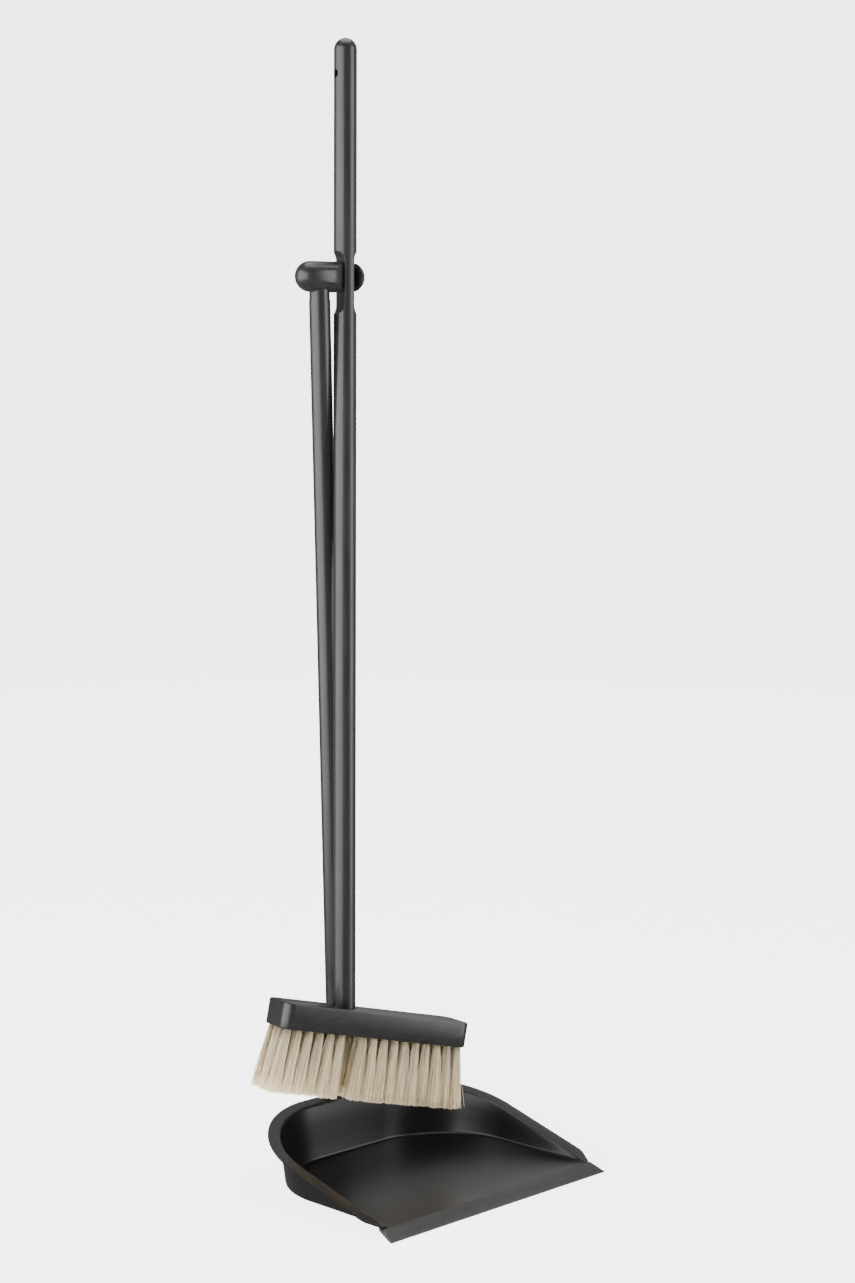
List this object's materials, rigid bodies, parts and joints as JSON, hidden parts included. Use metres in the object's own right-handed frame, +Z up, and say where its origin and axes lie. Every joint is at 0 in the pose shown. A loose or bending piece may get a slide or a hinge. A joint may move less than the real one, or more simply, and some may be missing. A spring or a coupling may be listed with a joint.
{
  "type": "dustpan and brush",
  "caption": "Long-handled sheet-metal dustpan with an upright handle, and a hair brush whose waisted handle hangs in the slot of a crosspiece on top.",
  "frame": {"origin": "middle of the bounding box's footprint, on the ground", "axes": "+Z up along the handles, the pan's open lip faces -Y, +X to the right seen from the front"},
  "size_m": [0.267, 0.2256, 0.9917],
  "materials": {
    "pan_paint": "satin black powder coat",
    "lip_rubber": "matte dark grey",
    "lacquered_wood": "satin black lacquer over wood",
    "black_steel": "blackened steel",
    "hair": "pale natural hair"
  },
  "bodies": {
    "pan": {"pan_shell": "pan_paint", "pan_lip": "lip_rubber", "pan_handle": "lacquered_wood", "crosspiece": "lacquered_wood", "handle_strap": "black_steel", "strap_screw": "black_steel", "strap_rivet_1": "black_steel", "strap_rivet_2": "black_steel", "strap_rivet_3": "black_steel", "strap_rivet_4": "black_steel"},
    "brush": {"brush_handle": "lacquered_wood", "brush_block": "lacquered_wood", "block_screw": "black_steel", "bristle_row_1_left": "hair", "bristle_row_1_right": "hair", "bristle_row_2_left": "hair", "bristle_row_2_right": "hair", "bristle_row_3_left": "hair", "bristle_row_3_right": "hair", "bristle_row_4_left": "hair", "bristle_row_4_right": "hair"}
  },
  "joints": [
    {"name": "brush_draw", "type": "slide", "parent": "pan", "child": "brush", "axis": [-0.2588, -0.9659, 0], "range_m": [0, 0.15]}
  ]
}
